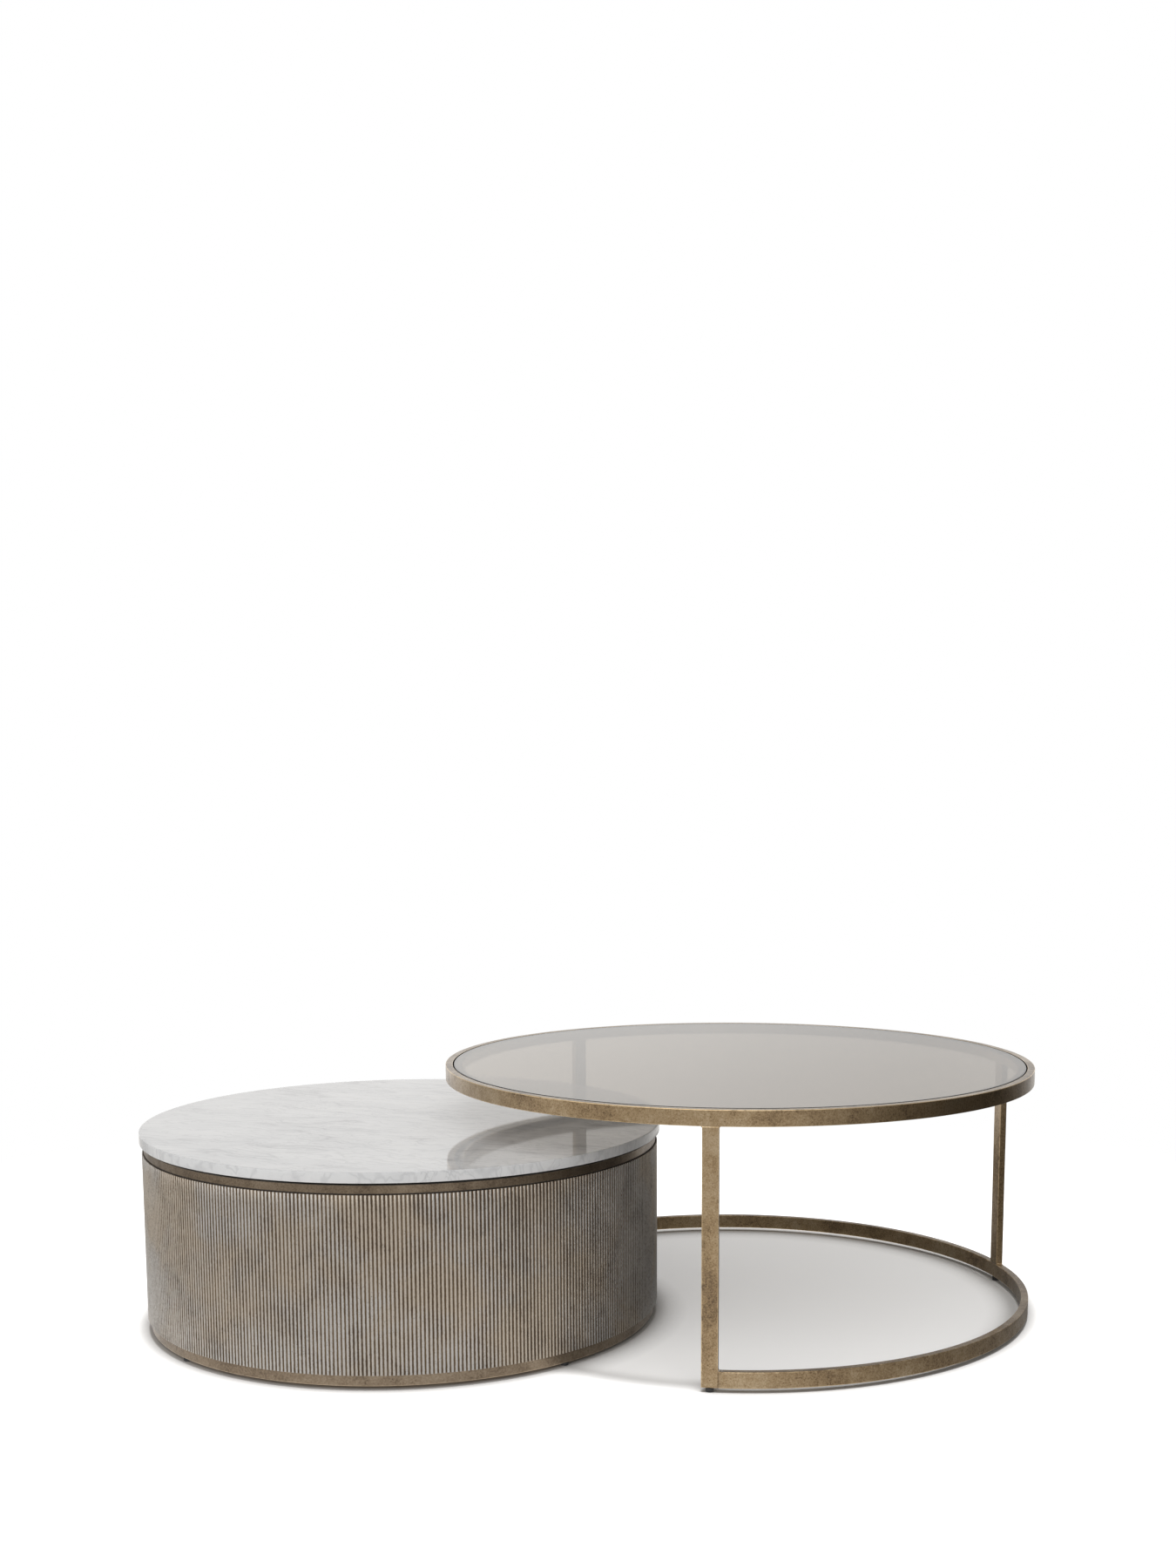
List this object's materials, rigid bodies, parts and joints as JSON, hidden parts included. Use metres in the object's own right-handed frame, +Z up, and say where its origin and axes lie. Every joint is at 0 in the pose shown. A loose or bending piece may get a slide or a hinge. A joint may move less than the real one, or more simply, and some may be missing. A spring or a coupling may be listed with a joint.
{
  "type": "nesting tables",
  "caption": "Round nesting coffee tables: a metal hoop table with an inset glass top over an open base arc, and a reeded metal drum with a marble top.",
  "frame": {"origin": "on the floor, under the middle of the set's bounding box at rest", "axes": "+X along the line in which the small table slides in under the large one, from the small table towards the large one; +Z up"},
  "size_m": [1.5029, 0.9999, 0.424],
  "materials": {
    "aged_brass": "aged, brushed, mottled brown with lighter worn edges",
    "reeded_metal": "fine vertical reeding, aged, light crests and dark grooves",
    "smoked_glass": "polished, light bronze grey tint",
    "white_marble": "polished white marble with fine grey veins",
    "board": "plain board, out of sight",
    "black_nylon": "matte black",
    "clear_pad": "soft clear pad"
  },
  "bodies": {
    "frame": {"top_hoop": "aged_brass", "glass_ledge": "aged_brass", "leg_front": "aged_brass", "leg_rear_right": "aged_brass", "leg_rear_left": "aged_brass", "base_arc": "aged_brass", "glass_bumper_1": "clear_pad", "glass_bumper_2": "clear_pad", "glass_bumper_3": "clear_pad", "glass_bumper_4": "clear_pad", "glass_bumper_5": "clear_pad", "glass_bumper_6": "clear_pad"},
    "glass": {"glass_top": "smoked_glass"},
    "drum": {"drum_top_band": "aged_brass", "drum_core": "board", "reeded_panel": "reeded_metal", "drum_plinth": "aged_brass", "drum_deck": "board", "drum_base_board": "board", "marble_pad_1": "clear_pad", "marble_pad_2": "clear_pad", "marble_pad_3": "clear_pad", "marble_pad_4": "clear_pad"},
    "marble": {"marble_top": "white_marble"},
    "foot_rear_right": {"glide_rear_right": "black_nylon"},
    "foot_rear_left": {"glide_rear_left": "black_nylon"},
    "foot_front": {"glide_front": "black_nylon"},
    "drum_foot_1": {"drum_glide_1": "black_nylon"},
    "drum_foot_2": {"drum_glide_2": "black_nylon"},
    "drum_foot_3": {"drum_glide_3": "black_nylon"},
    "drum_foot_4": {"drum_glide_4": "black_nylon"}
  },
  "joints": [
    {"name": "drum_nest", "type": "slide", "parent": "frame", "child": "drum", "axis": [1, 0, 0], "range_m": [-0.45, 0.57]},
    {"name": "glass_lift", "type": "slide", "parent": "frame", "child": "glass", "axis": [0, 0, 1], "range_m": [0, 0.05]},
    {"name": "marble_lift", "type": "slide", "parent": "drum", "child": "marble", "axis": [0, 0, 1], "range_m": [0, 0.04]},
    {"name": "foot_rear_right_screw", "type": "slide", "parent": "frame", "child": "foot_rear_right", "axis": [0, 0, -1], "range_m": [0, 0.008]},
    {"name": "foot_rear_left_screw", "type": "slide", "parent": "frame", "child": "foot_rear_left", "axis": [0, 0, -1], "range_m": [0, 0.008]},
    {"name": "foot_front_screw", "type": "slide", "parent": "frame", "child": "foot_front", "axis": [0, 0, -1], "range_m": [0, 0.008]},
    {"name": "drum_foot_1_screw", "type": "slide", "parent": "drum", "child": "drum_foot_1", "axis": [0, 0, -1], "range_m": [0, 0.008]},
    {"name": "drum_foot_2_screw", "type": "slide", "parent": "drum", "child": "drum_foot_2", "axis": [0, 0, -1], "range_m": [0, 0.008]},
    {"name": "drum_foot_3_screw", "type": "slide", "parent": "drum", "child": "drum_foot_3", "axis": [0, 0, -1], "range_m": [0, 0.008]},
    {"name": "drum_foot_4_screw", "type": "slide", "parent": "drum", "child": "drum_foot_4", "axis": [0, 0, -1], "range_m": [0, 0.008]}
  ]
}
